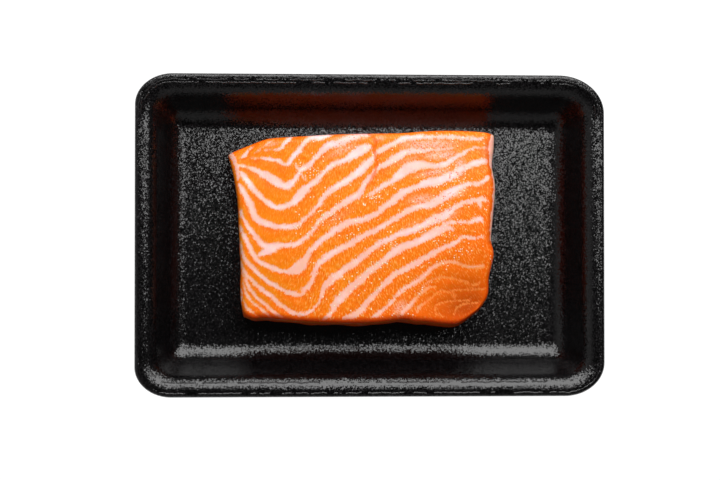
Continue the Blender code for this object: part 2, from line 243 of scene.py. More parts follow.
        (27.8, -27.1, 0.25), (30.7, -24.8, 0.25), (33.9, -25.0, 0.2), (37.8, -25.9, 0.2),
    ],
    "o_far": [
        (34.5, -24.9, 0.1), (38.0, -24.5, 0.15), (40.8, -24.2, 0.2), (44.9, -24.2, 0.2),
        (51.0, -23.9, 0.15),
    ],
    "loop": [
        (32.7, -36.4, 0.1), (29.4, -35.0, 0.15), (28.5, -32.8, 0.2), (29.9, -30.7, 0.2),
        (33.5, -29.6, 0.2), (39.6, -29.2, 0.15), (44.5, -29.0, 0.1),
    ],
    "loop_inner": [
        (37.2, -35.6, 0.1), (38.0, -33.2, 0.15), (40.0, -31.4, 0.2), (44.5, -30.4, 0.2),
        (49.0, -30.0, 0.1),
    ],
    "belly_1": [
        (-57.3, -17.0, 0.35), (-55.9, -20.2, 0.5), (-54.3, -23.6, 0.7), (-51.7, -27.0, 0.7),
        (-48.5, -29.9, 0.7), (-45.6, -32.4, 0.7), (-42.6, -34.9, 0.7), (-39.9, -36.8, 0.6),
        (-37.0, -37.6, 0.3),
    ],
    "belly_2": [
        (-57.0, -21.5, 0.2), (-56.0, -25.0, 0.4), (-54.9, -27.4, 0.5), (-52.6, -30.1, 0.5),
        (-49.7, -32.4, 0.5), (-46.9, -34.8, 0.5), (-44.0, -37.2, 0.4),
    ],
    "belly_3": [(-57.0, -28.7, 0.3), (-55.6, -32.0, 0.4), (-53.0, -34.4, 0.4), (-49.7, -36.8, 0.3)],
    "right_1": [
        (1.4, 36.4, 0.6), (4.5, 38.2, 0.9), (8.3, 40.2, 0.8), (11.1, 41.5, 0.8), (14.8, 43.3, 1.1),
        (18.5, 43.6, 1.1), (24.6, 43.9, 0.8), (32.7, 43.9, 0.7), (40.8, 43.7, 0.6), (46.9, 43.2, 0.6),
        (50.2, 43.6, 0.4),
    ],
    "right_2": [
        (1.2, 28.8, 0.4), (3.2, 30.4, 0.8), (6.5, 31.8, 1.0), (9.5, 33.6, 1.5), (12.5, 35.6, 1.5),
        (16.0, 37.3, 1.2), (21.0, 37.8, 0.9), (28.0, 38.2, 0.6), (36.0, 39.0, 0.3),
    ],
    "right_3": [
        (-0.7, 18.3, 0.5), (2.5, 20.3, 0.7), (5.4, 22.2, 0.8), (9.0, 24.0, 0.9), (12.2, 26.8, 1.7),
        (16.0, 29.6, 2.2), (20.5, 31.2, 2.0), (24.6, 31.3, 1.3), (29.0, 31.2, 1.0), (33.0, 32.0, 1.0),
        (36.2, 34.0, 0.9), (40.3, 36.4, 0.7), (44.9, 38.8, 0.5), (49.0, 39.3, 0.4), (53.0, 39.2, 0.2),
    ],
}
LINE_STEP = 0.25

# Where fat clouds the flesh between the lines: centre and reach in millimetres, turn in degrees, amount.
CLOUDS = [
    ((-44.5, 40.4), (3.4, 1.2), 10, 0.60),
    ((-13.0, 37.8), (7.0, 1.8), 25, 0.65),
    ((-9.0, 43.4), (8.5, 2.0), 12, 1.00),
    ((3.4, 43.0), (3.2, 1.6), 20, 0.60),
    ((26.0, 40.4), (12.5, 2.2), 1, 1.00),
    ((31.4, 35.8), (8.0, 2.0), 5, 1.00),
    ((17.0, 33.6), (6.0, 1.2), 20, 0.50),
    ((39.9, 31.6), (2.6, 3.2), 0, 0.95),
    ((37.5, 27.4), (4.5, 2.2), 20, 0.85),
    ((28.0, 28.0), (8.0, 1.5), 12, 0.80),
    ((22.5, 15.8), (6.0, 2.3), 10, 0.85),
    ((36.0, 18.5), (6.5, 2.1), 18, 0.85),
    ((32.4, 8.8), (6.0, 2.3), 15, 0.85),
    ((18.0, 4.6), (6.0, 1.4), 25, 0.35),
    ((10.6, -4.6), (1.6, 1.0), 0, 0.60),
    ((3.4, -2.2), (2.6, 0.5), -12, 0.60),
    ((13.2, -32.6), (3.6, 2.8), 50, 0.85),
    ((37.4, -27.0), (0.9, 0.9), 0, 0.90),
    ((51.0, 36.0), (1.6, 3.0), 0, 0.25),
    ((-14.0, 8.2), (6.5, 1.4), 30, 0.30),
]

# Where the wet surface is rough enough to glint, and the painted glint flecks are dense: centre and reach
# in millimetres, turn in degrees, amount.
GLINTS = [
    ((-31.8, 30.5), (1.8, 4.5), 15, 1.0),
    ((-27.5, 27.5), (4.0, 3.0), 10, 1.0),
    ((-33.0, 4.0), (3.0, 1.4), 0, 0.9),
    ((-30.5, 1.0), (2.0, 2.0), 0, 0.8),
    ((-19.0, 7.5), (9.0, 4.0), 35, 0.7),
    ((-8.0, 2.0), (9.0, 3.0), 30, 0.5),
    ((0.5, 16.0), (4.5, 2.5), 20, 0.8),
    ((31.0, 28.2), (7.0, 2.2), 10, 0.8),
    ((40.0, 25.5), (4.0, 4.0), 0, 0.8),
    ((35.0, 14.0), (6.0, 1.8), 25, 0.7),
    ((26.0, 3.6), (7.0, 1.8), 28, 0.9),
    ((32.0, -1.5), (5.0, 1.6), 25, 0.8),
    ((8.5, -4.0), (3.5, 1.6), 20, 0.7),
    ((24.0, -23.4), (4.5, 1.2), 35, 0.8),
    ((40.0, -7.5), (6.0, 3.0), 0, 0.5),
    ((4.0, -13.0), (6.0, 3.0), 30, 0.4),
    ((33.0, 22.0), (5.0, 1.6), 15, 0.6),
]

# The thin pale membrane left at the edges of the block, in millimetres: x, y, half width.
MEMBRANES = {
    "left": [
        (-63.2, 36.6, 0.8), (-62.2, 35.4, 1.1), (-61.0, 33.6, 0.9), (-60.2, 31.2, 0.8),
        (-59.6, 28.6, 0.7), (-59.3, 26.0, 0.5), (-59.2, 24.0, 0.2),
    ],
    "right": [
        (53.6, -2.0, 0.3), (53.9, 2.0, 0.6), (54.3, 8.0, 0.7), (54.9, 14.0, 0.6), (55.4, 20.0, 0.6),
        (55.2, 26.0, 0.7), (54.2, 31.5, 0.9), (54.0, 36.0, 1.4), (54.3, 41.0, 1.4), (54.8, 44.6, 0.9),
    ],
    "front_left": [(-57.6, -31.0, 0.1), (-57.7, -28.0, 0.3), (-57.8, -24.0, 0.1)],
}

# The seam where two sets of flakes meet.
SEAM = [
    (-1.4, 45.8), (1.0, 43.0), (1.9, 40.6), (1.0, 37.4), (2.2, 33.4), (2.0, 30.0), (-1.0, 22.3),
    (-5.6, 16.1),
]

# Which way the cut fibres run, in degrees from +X, at these places along X.
STRAND_PLACES = (-55.0, -40.0, -25.0, 0.0, 30.0)
STRAND_TURNS = (46.0, 58.0, 82.0, 108.0, 124.0)

# The grid on which the marbling is worked out, in millimetres, and how often its fields are smoothed.
FIELD_STEP = 0.4
FIELD_LOW = (-68.0, -48.0)
FIELD_HIGH = (62.0, 54.0)
GIRTH_BLUR = 6
FLOW_BLUR = 30
SIDE_BLUR = 2
SIDE_FADE = 1.6

# How far the marbling moves inwards with each step down the sides.
SIDE_SLANT = 0.75

# Millimetres from the edge, over which the painted shade of the edges reaches. The right and the back count
# as further in, because the painted shade is weaker there.
RIGHT_BORDER = 1.2
BACK_BORDER = 1.8
UNSHADED_BORDER = 9.0


def catmull(points, step):
    """A smooth curve through the points, as rows of numbers about this far apart."""
    knots = np.array(points, float)
    knots = np.vstack([2 * knots[0] - knots[1], knots, 2 * knots[-1] - knots[-2]])
    rows = []
    for a, b, c, d in zip(knots, knots[1:], knots[2:], knots[3:]):
        count = max(2, math.ceil(np.linalg.norm((c - b)[:2]) / step))
        t = (np.arange(count) / count)[:, None]
        cubic = (3 * b - a - 3 * c + d) * t**3
        rows.append(0.5 * (2 * b + (c - a) * t + (2 * a - 5 * b + 4 * c - d) * t**2 + cubic))
    rows.append(knots[-2][None, :])
    return np.vstack(rows)


def tree_of(points):
    """A lookup tree of plane points."""
    tree = kdtree.KDTree(len(points))
    for index, (x, y) in enumerate(points):
        tree.insert((x, y, 0.0), index)
    tree.balance()
    return tree


def nearest(tree, x, y):
    """For each point, the index of the tree's nearest one and how far off it is."""
    found = [tree.find((px, py, 0.0)) for px, py in zip(x.ravel(), y.ravel())]
    index = np.array([hit[1] for hit in found]).reshape(x.shape)
    distance = np.array([hit[2] for hit in found]).reshape(x.shape)
    return index, distance


def spots(table, x, y):
    """Soft ellipses, the strongest one at each point."""
    total = np.zeros_like(x)
    for (cx, cy), (reach_x, reach_y), turn, amount in table:
        c, s = math.cos(math.radians(turn)), math.sin(math.radians(turn))
        u = ((x - cx) * c + (y - cy) * s) / reach_x
        v = ((y - cy) * c - (x - cx) * s) / reach_y
        total = np.maximum(total, amount * np.exp(-(u**2 + v**2) ** 1.5))
    return total


def blurred(field, passes):
    """A field smoothed over its neighbours."""
    for _ in range(passes):
        wide = np.pad(field, 1, mode="edge")
        field = (wide[:-2, 1:-1] + wide[2:, 1:-1] + wide[1:-1, :-2] + wide[1:-1, 2:] + 4 * field) / 8
    return field


def potential(slope_x, slope_y, step):
    """The field whose slopes come nearest to the given ones, found with a cosine transform."""
    rows, columns = slope_x.shape
    source = np.zeros((rows, columns))
    between_x = (slope_x[:, 1:] + slope_x[:, :-1]) / 2
    between_y = (slope_y[1:] + slope_y[:-1]) / 2
    source[:, :-1] += between_x
    source[:, 1:] -= between_x
    source[:-1] += between_y
    source[1:] -= between_y
    mirrored = np.block([[source, source[:, ::-1]], [source[::-1], source[::-1, ::-1]]])
    spectrum = np.fft.fft2(mirrored)
    ky = np.arange(2 * rows)[:, None] * math.pi / rows
    kx = np.arange(2 * columns)[None, :] * math.pi / columns
    stiffness = 2 * np.cos(kx) + 2 * np.cos(ky) - 4
    stiffness[0, 0] = 1.0
    spectrum /= stiffness
    spectrum[0, 0] = 0.0
    return np.real(np.fft.ifft2(spectrum))[:rows, :columns] * step


class Marbling:
    """Fields of the cut face on a regular grid, in millimetres, which can be read at any point."""

    def __init__(self):
        xs = np.arange(FIELD_LOW[0], FIELD_HIGH[0] + FIELD_STEP, FIELD_STEP)
        ys = np.arange(FIELD_LOW[1], FIELD_HIGH[1] + FIELD_STEP, FIELD_STEP)
        self.shape = (len(ys), len(xs))
        x, y = np.meshgrid(xs, ys)
        lines = [catmull(points, LINE_STEP) for points in FAT_LINES.values()]
        samples = np.vstack(lines)
        tangents = np.vstack([np.gradient(line[:, :2], axis=0) for line in lines])
        tangents /= np.linalg.norm(tangents, axis=1)[:, None]
        index, distance = nearest(tree_of(samples[:, :2]), x, y)
        self.fields = {"fat": samples[index, 2] - distance, "girth": blurred(samples[index, 2], GIRTH_BLUR)}
        run, rise = (blurred(tangents[index, axis], FLOW_BLUR) for axis in (0, 1))
        length = np.hypot(run, rise) + 1e-6
        run, rise = run / length, rise / length
        self.fields["fibre"] = potential(run, rise, FIELD_STEP)
        self.fields["across"] = potential(-rise, run, FIELD_STEP)
        # Which side of its nearest fat line each point lies on, fading with distance: this sets the painted
        # light and painted shade beside the fat.
        aside = tangents[index, 0] * (y - samples[index, 1]) - tangents[index, 1] * (x - samples[index, 0])
        edge = np.maximum(0.0, distance - samples[index, 2])
        side = np.sign(aside) * np.exp(-edge / SIDE_FADE)
        self.fields["side"] = blurred(side, SIDE_BLUR)
        self.fields["cloud"] = spots(CLOUDS, x, y)
        self.fields["glint"] = spots(GLINTS, x, y)
        strips = np.vstack([catmull(points, LINE_STEP) for points in MEMBRANES.values()])
        index, distance = nearest(tree_of(strips[:, :2]), x, y)
        self.fields["membrane"] = strips[index, 2] - distance
        turn = np.radians(np.interp(x, STRAND_PLACES, STRAND_TURNS))
        self.fields["strand"] = potential(np.sin(turn), -np.cos(turn), FIELD_STEP)
        self.fields["strand_run"] = potential(np.cos(turn), np.sin(turn), FIELD_STEP)
        self.fields["seam"] = nearest(tree_of(catmull(SEAM, LINE_STEP)), x, y)[1]

    def read(self, name, x, y):
        """The field's value at points in millimetres."""
        rows, columns = self.shape
        u = np.clip((x - FIELD_LOW[0]) / FIELD_STEP, 0, columns - 1.001)
        v = np.clip((y - FIELD_LOW[1]) / FIELD_STEP, 0, rows - 1.001)
        i, j = u.astype(int), v.astype(int)
        a, b = u - i, v - j
        field = self.fields[name]
        low = field[j, i] * (1 - a) + field[j, i + 1] * a
        high = field[j + 1, i] * (1 - a) + field[j + 1, i + 1] * a
        return low * (1 - b) + high * b


def crowded(count):
    """Steps from 0 to 1 that lie closer together towards both ends."""
    t = np.arange(count + 1) / count
    return t - EDGE_CROWDING * np.sin(2 * math.pi * t) / (2 * math.pi)


def along(points, places):
    """Points at these shares of the length of a smooth curve through the given points."""
    fine = catmull(points, OUTLINE_STEP)
    lengths = np.concatenate([[0.0], np.cumsum(np.linalg.norm(np.diff(fine, axis=0), axis=1))])
    goals = places * lengths[-1]
    return np.stack([np.interp(goals, lengths, fine[:, axis]) for axis in (0, 1)], axis=1)


def sheet_between(back, right, front, left):
    """Rows of points, front to back, of the flat sheet that fills the four edges."""
    u = crowded(len(back) - 1)[None, :, None]
    v = crowded(len(left) - 1)[:, None, None]
    across = front[None] * (1 - v) + back[None] * v + left[:, None] * (1 - u) + right[:, None] * u
    near = front[0] * (1 - u) + front[-1] * u
    far = back[0] * (1 - u) + back[-1] * u
    return across - (near * (1 - v) + far * v)


def edge_drop(distance):
    """How far the rounded edge of the cut face has fallen, this far in from the side."""
    short = np.clip(1 - distance / EDGE_ROUND, 0, 1)
    return EDGE_ROUND * (1 - np.sqrt(1 - short**2))


def waves(x, y, seed, scale, count=9):
    """Smooth seeded ripples of about this wavelength, between -1 and 1."""
    random = np.random.default_rng(seed)
    total = np.zeros_like(x)
    for _ in range(count):
        angle, phase = random.uniform(0, 2 * math.pi, 2)
        pitch = scale * random.uniform(0.7, 1.5)
        total += np.sin(2 * math.pi * (x * math.cos(angle) + y * math.sin(angle)) / pitch + phase)
    return total / math.sqrt(count) / 1.6


def face_relief(marbling, x, y):
    """How far the cut face lies under the smooth form, in metres: domed flakes between grooves of fat."""
    fat = marbling.read("fat", x, y)
    groove = FACE_GROOVE * np.exp(-np.maximum(0.0, -fat - 0.1) / FACE_GROOVE_FADE)
    seam = SEAM_GROOVE * np.exp(-(marbling.read("seam", x, y) ** 2))
    ripple = LONG_RIPPLE * waves(x, y, 3, 9.0) + SHORT_RIPPLE * waves(x, y, 4, 3.0)
    return groove + seam + ripple


def face_points(marbling):
    """The fine grid of the cut face, front to back."""
    us, vs = crowded(FACE_CELLS_X), crowded(FACE_CELLS_Y)
    back, front = along(BACK_EDGE, us), along(FRONT_EDGE, us)
    left, right = along(LEFT_EDGE, vs), along(RIGHT_EDGE, vs)
    flat = sheet_between(back, right, front, left)
    height = np.full(flat.shape[:2], FILLET_THICKNESS)
    for centre, reach, rise in SWELLS:
        gap = np.linalg.norm(flat - np.array(centre), axis=2)
        height += rise * np.exp(-((gap / reach) ** 2))
    for edge in (left[:, None], right[:, None], front[None], back[None]):
        height -= edge_drop(np.linalg.norm(flat - edge, axis=2))
    height -= face_relief(marbling, flat[..., 0] / MM, flat[..., 1] / MM)
    return np.dstack([flat, height + FISH_LOW.z])


def rim_of(face):
    """The border of the cut face, round from the front left, as index pairs and each one's flare."""
    rows, columns = face.shape[0] - 1, face.shape[1] - 1
    rim = [(0, i, FRONT_FLARE) for i in range(columns)]
    rim += [(j, columns, RIGHT_FLARE) for j in range(rows)]
    rim += [(rows, i, BACK_FLARE) for i in range(columns, 0, -1)]
    rim += [(j, 0, LEFT_FLARE) for j in range(rows, 0, -1)]
    return np.array([(j, i) for j, i, _ in rim]), np.array([flare for _, _, flare in rim])


def ring_mean(values, reach):
    """Values round a closed ring, each averaged with its neighbours."""
    return sum(np.roll(values, step, axis=0) for step in range(-reach, reach + 1)) / (2 * reach + 1)


def side_points(face, marbling):
    """Rings of points down the sides, and the places of the cut face that their marbling comes from."""
    spots_on_rim, flare = rim_of(face)
    top = face[spots_on_rim[:, 0], spots_on_rim[:, 1]]
    run = np.roll(top, -1, axis=0) - np.roll(top, 1, axis=0)
    outward = np.stack([run[:, 1], -run[:, 0]], axis=1)
    outward = ring_mean(outward / np.linalg.norm(outward, axis=1)[:, None], 6)
    outward /= np.linalg.norm(outward, axis=1)[:, None]
    flare = ring_mean(flare, 16)
    rings, sources = [], []
    for row in range(1, WALL_ROWS + 1):
        share = row / WALL_ROWS
        height = top[:, 2] + (FISH_LOW.z - top[:, 2]) * (1 - (1 - share) ** SIDE_CROWDING)
        deep = (top[:, 2] - height) / MM
        source = top[:, :2] / MM - outward * (deep * SIDE_SLANT)[:, None]
        tuck = FOOT_ROUND * (max(0.0, share - FOOT_START) / (1 - FOOT_START)) ** 2
        fat = marbling.read("fat", source[:, 0], source[:, 1])
        groove = SIDE_GROOVE * np.exp(-np.maximum(0.0, -fat) / SIDE_GROOVE_FADE) * min(1.0, share * 3)
        ripple = waves(top[:, 0] / MM + deep, top[:, 1] / MM - deep, 7, 16.0)
        bulge = SIDE_BULGE * ripple * math.sin(math.pi * share)
        out = flare * math.sin(share * math.pi / 2) - tuck - groove + bulge
        place = top[:, :2] + outward * out[:, None]
        rings.append(np.column_stack([place, height]))
        sources.append(np.column_stack([source, deep]))
    return spots_on_rim, rings, sources


def make_mesh(name, points, faces, skin):
    """A smooth mesh object from arrays."""
    mesh = bpy.data.meshes.new(name)
    mesh.from_pydata(points.tolist(), [], faces)
    mesh.validate()
    mesh.shade_smooth()
    mesh.materials.append(skin)
    made = bpy.data.objects.new(name, mesh)
    bpy.context.scene.collection.objects.link(made)
    return made


def set_values(mesh, name, values):
    """One number for each vertex, which the material reads by name."""
    layer = mesh.attributes.new(name, "FLOAT", "POINT")
    layer.data.foreach_set("value", np.asarray(values, np.float32))


def ring_faces(rings):
    """Quads that join each ring of vertex numbers to the next."""
    faces = []
    for upper, lower in zip(rings, rings[1:]):
        after_upper, after_lower = np.roll(upper, -1), np.roll(lower, -1)
        faces += np.stack([upper, lower, after_lower, after_upper], axis=1).tolist()
    return faces


def make_fillet(skin):
    """The block of fillet, with the marbling's fields stored on its vertices."""
    marbling = Marbling()
    face = face_points(marbling)
    rows, columns = face.shape[:2]
    numbers = np.arange(rows * columns).reshape(rows, columns)
    quads = np.stack([numbers[:-1, :-1], numbers[:-1, 1:], numbers[1:, 1:], numbers[1:, :-1]], axis=2)
    rim, rings, sources = side_points(face, marbling)
    loops = [numbers[rim[:, 0], rim[:, 1]]]
    first = rows * columns
    for ring in rings:
        loops.append(np.arange(first, first + len(ring)))
        first += len(ring)
    faces = quads.reshape(-1, 4).tolist() + ring_faces(loops) + [loops[-1][::-1].tolist()]
    points = np.vstack([face.reshape(-1, 3), *rings])
    flat = face.reshape(-1, 3)[:, :2] / MM
    source = np.vstack([np.column_stack([flat, np.zeros(len(flat))]), *sources])
    made = make_mesh("salmon_fillet", points, faces, skin)
    x, y, deep = source.T
    for name in marbling.fields:
        if name != "membrane":
            set_values(made.data, name, marbling.read(name, x, y))
    set_values(made.data, "membrane", marbling.read("membrane", points[:, 0] / MM, points[:, 1] / MM))
    set_values(made.data, "deep", deep)
    # How far each point of the face lies from the front, right and back edges, for the painted shade along
    # them.
    level = face[..., :2]
    edges = (level[:1], level[:, -1:], level[-1:])
    to_front, to_right, to_back = (np.linalg.norm(level - edge, axis=2) / MM for edge in edges)
    border = np.minimum(np.minimum(to_front, to_right + RIGHT_BORDER), 2 * to_back + BACK_BORDER)
    sides = np.full(len(points) - border.size, UNSHADED_BORDER)
    set_values(made.data, "border", np.concatenate([border.ravel(), sides]))
    return made


def rounded_turn(before, corner, after, radius, step):
    """Points of the arc that rounds one corner of a polyline."""
    into = (before - corner).normalized()
    out = (after - corner).normalized()
    half = into.angle(out) / 2
    centre = corner + (into + out).normalized() * (radius / math.sin(half))
    first = corner + into * (radius / math.tan(half)) - centre
    swing = math.pi - 2 * half
    last = corner + out * (radius / math.tan(half)) - centre
    turn = math.copysign(1.0, first.x * last.y - first.y * last.x)
    count = max(3, math.ceil(radius * swing / step))
    points = []
    for index in range(count + 1):
        angle = turn * swing * index / count
        c, s = math.cos(angle), math.sin(angle)
        points.append(centre + Vector((first.x * c - first.y * s, first.x * s + first.y * c)))
    return points


def tray_section():
    """The foam's cut section from the middle of the underside, round the lip, to the middle of the floor.

    Each point is (inset from the tray's outer edge, height).
    """
    lean = (WALL_FOOT_INSET - WALL_TOP_INSET) / (TRAY_HEIGHT - FOAM)
    skin = FOAM * math.sqrt(1 + lean * lean)
    middle = TRAY_WIDTH / 2
    under_lip = LIP_HEIGHT - LIP_THICKNESS

    def outer_wall(height):
        return WALL_TOP_INSET + (TRAY_HEIGHT - height) * lean - skin

    # Each turn of the section: its corner, its radius and the step along its arc.
    turns = [
        (Vector((outer_wall(0.0), 0.0)), 0.0055, 0.0012),
        (Vector((outer_wall(under_lip), under_lip)), 0.0012, 0.0005),
        (Vector((0.0, under_lip - LIP_DROOP)), 0.0009, 0.0004),
        (Vector((0.0, LIP_HEIGHT)), 0.0015, 0.0003),
        (Vector((WALL_TOP_INSET, TRAY_HEIGHT + CREST_OVERSHOOT)), CREST_ROUND, 0.0004),
        (Vector((WALL_FOOT_INSET, FOAM)), FLOOR_ROUND, 0.0005),
    ]
    ends = [Vector((middle, 0.0)), *[turn[0] for turn in turns], Vector((middle, FOAM))]
    points = []
    for index, (corner, radius, step) in enumerate(turns):
        arc = rounded_turn(ends[index], corner, ends[index + 2], radius, step)
        if points:
            gap = arc[0] - points[-1]
            count = max(1, math.ceil(gap.length / TRAY_WALL_STEP))
            start = points[-1]
            points += [start + gap * (step_in / count) for step_in in range(1, count)]
        points += arc
    return points


def tray_loop(inset, height):
    """One level line of the tray: a rounded rectangle, whose corners tighten towards the floor."""
    past_crest = max(0.0, inset - CREST_INSET)
    half_x = TRAY_LENGTH / 2 - inset + past_crest * (1 - END_LEAN)
    half_y = TRAY_WIDTH / 2 - inset
    sides = (round(TRAY_WIDTH / TRAY_STRAIGHT_STEP), round(TRAY_LENGTH / TRAY_STRAIGHT_STEP)) * 2
    corners = ((1, 1), (-1, 1), (-1, -1), (1, -1))
    arcs = []
    for quarter, ((side_x, side_y), outer) in enumerate(zip(corners, TRAY_CORNERS)):
        radius = outer * math.exp(-inset / CORNER_FADE)
        long_radius = radius * CORNER_STRETCH
        angles = math.pi / 2 * (quarter + np.arange(TRAY_CORNER_STEPS + 1) / TRAY_CORNER_STEPS)
        arcs.append(np.column_stack([
            side_x * (half_x - long_radius) + long_radius * np.cos(angles),
            side_y * (half_y - radius) + radius * np.sin(angles),
        ]))
    loop = []
    for quarter, arc in enumerate(arcs):
        after = arcs[(quarter + 1) % 4][0]
        count = sides[(quarter + 1) % 4]
        t = (np.arange(1, count) / count)[:, None]
        loop += [arc, arc[-1] * (1 - t) + after * t]
    flat = np.vstack(loop)
    return np.column_stack([flat, np.full(len(flat), height)])


def make_tray(skin):
    """The tray, with each vertex's distance past the crest and round the rim, in millimetres."""
    section = tray_section()
    floor_start = section[-1].x
    floor_end = TRAY_WIDTH / 2 - FLOOR_CAP
    shares = np.arange(1, TRAY_FLOOR_RINGS + 1) / TRAY_FLOOR_RINGS
    section += [Vector((floor_start + (floor_end - floor_start) * share, FOAM)) for share in shares]
    loops = [tray_loop(spot.x, spot.y) for spot in section]
    count = len(loops[0])
    points = np.vstack(loops)
    numbers = np.arange(len(points)).reshape(-1, count)
    faces = ring_faces([ring[::-1] for ring in numbers])
    faces += [numbers[0][::-1].tolist(), numbers[-1].tolist()]
    made = make_mesh("foam_tray", points, faces, skin)
    steps = [0.0] + [(b - a).length / MM for a, b in zip(section, section[1:])]
    lengths = np.cumsum(steps)
    crest = int(np.argmax([spot.y for spot in section]))
    rim = loops[crest]
    runs = np.linalg.norm(np.roll(rim, -1, axis=0) - rim, axis=1) / MM
    run = np.concatenate([[0.0], np.cumsum(runs)[:-1]])
    set_values(made.data, "over", np.repeat(lengths - lengths[crest], count))
    set_values(made.data, "run", np.tile(run, len(section)))
    return made


def add(tree, kind, inputs=None, **settings):
    """A new shader node, with its inputs set to values or linked to other nodes' outputs."""
    made = tree.nodes.new(kind)
    for name, value in settings.items():
        setattr(made, name, value)
    for key, value in (inputs or {}).items():
        if isinstance(value, bpy.types.NodeSocket):
            tree.links.new(value, made.inputs[key])
        else:
            made.inputs[key].default_value = value
    return made


def number(tree, operation, *values, clamp=False):
    """The output of a maths node."""
    made = add(tree, "ShaderNodeMath", dict(enumerate(values)), operation=operation, use_clamp=clamp)
    return made.outputs[0]


def plus(tree, first, second):
    """The sum of two numbers."""
    return number(tree, "ADD", first, second)


def minus(tree, first, second):
    """The first number less the second."""
    return number(tree, "SUBTRACT", first, second)


def times(tree, first, second, clamp=False):
    """The product of two numbers."""
    return number(tree, "MULTIPLY", first, second, clamp=clamp)


def attribute(tree, name):
    """A number stored on the vertices."""
    return add(tree, "ShaderNodeAttribute", attribute_name=name).outputs["Fac"]


def vector(tree, x, y, z=0.0):
    """Three numbers as one vector."""
    return add(tree, "ShaderNodeCombineXYZ", {"X": x, "Y": y, "Z": z}).outputs[0]


def noise(tree, where, scale, detail=3.0, roughness=0.55):
    """A noise value around 0.5."""
    inputs = {"Vector": where, "Scale": scale, "Detail": detail, "Roughness": roughness}
    return add(tree, "ShaderNodeTexNoise", inputs).outputs["Fac"]


def ramp(tree, value, low, high, to_low=0.0, to_high=1.0):
    """A smooth step from one value to another."""
    made = add(tree, "ShaderNodeMapRange", {
        "Value": value, "From Min": low, "From Max": high, "To Min": to_low, "To Max": to_high,
    }, interpolation_type="SMOOTHSTEP")
    return made.outputs["Result"]


def mixed(tree, share, first, second):
    """A blend of two colours."""
    made = add(tree, "ShaderNodeMix", data_type="RGBA")
    for socket, value in zip((made.inputs[0], made.inputs[6], made.inputs[7]), (share, first, second)):
        if isinstance(value, bpy.types.NodeSocket):
            tree.links.new(value, socket)
        else:
            socket.default_value = value
    return made.outputs[2]


def layered(tree, colour, *layers):
    """A colour with others laid over it in turn, each given as its share and the colour."""
    for share, over in layers:
        colour = mixed(tree, share, colour, over)
    return colour


def new_material(name, finish):
    """A material, its node tree and its shader, whose sockets have these values."""
    made = bpy.data.materials.new(name)
    made.use_nodes = True
    tree = made.node_tree
    shader = tree.nodes["Principled BSDF"]
    for socket, value in finish.items():
        shader.inputs[socket].default_value = value
    return made, tree, shader


def bumped(tree, height, distance):
    """The surface's normal, raised by this height."""
    inputs = {"Height": height, "Distance": distance, "Strength": 1.0}
    return add(tree, "ShaderNodeBump", inputs).outputs["Normal"]


FLESH = (0.965, 0.222, 0.003, 1)
# GOLD_FLESH and DEEP_FLESH are painted light and painted shade of the flakes beside the fat, with patches
# of real tone; DEEP_FLESH also darkens the lower right, partly as painted shade.
GOLD_FLESH = (0.980, 0.268, 0.006, 1)
DEEP_FLESH = (0.940, 0.165, 0.002, 1)
# Painted shade, with a deeper tone, at the lower right corner.
CORNER_FLESH_AND_SHADE = (0.500, 0.056, 0.001, 1)
# Painted shade over the edges of the cut face.
SHADED_EDGE_FLESH = (0.930, 0.120, 0.001, 1)
# Painted shade: the red line beside the right membrane.
RED_EDGE_SHADE = (0.620, 0.095, 0.001, 1)
# Painted shade: redder flesh along the edges of the cut face, and in part down the sides.
SHADED_SIDE_FLESH = (0.900, 0.065, 0.001, 1)
DARK_TICK = (0.850, 0.135, 0.001, 1)
LIGHT_TICK = (1.0, 0.430, 0.100, 1)
# Painted glints of the wet surface.
PAINTED_GLINT_FLECK = (1.0, 0.880, 0.640, 1)
PINK_FAT = (0.985, 0.500, 0.380, 1)
# The fat's white, laid on more towards the back as painted sheen.
WHITE_FAT = (0.995, 0.700, 0.680, 1)
PEACH_FAT = (0.970, 0.390, 0.170, 1)
GOLD_FAT = (0.970, 0.300, 0.060, 1)
MEMBRANE = (0.880, 0.500, 0.400, 1)
FLESH_FINISH = {
    "Roughness": 0.45,
    "Specular IOR Level": 0.10,
    "Coat Weight": 0.06,
    "Coat Roughness": 0.15,
    "Subsurface Weight": 0.30,
    "Subsurface Radius": (1.0, 0.14, 0.05),
    "Subsurface Scale": 0.0035,
}
FLESH_BUMP = 0.00018
# The lower right corner, towards which the flesh darkens, partly in tone and partly as painted shade.
DARK_CORNER = (0.046, -0.037)

# How many of each pattern's features fit in a metre.
PATCHES = 95.0
NOTCHES = 420.0
CRUMBS = 1500.0
PINS = 1400.0


def off_middle(tree, value, amount):
    """A noise value turned into a shift either way."""
    return times(tree, minus(tree, value, 0.5), amount)


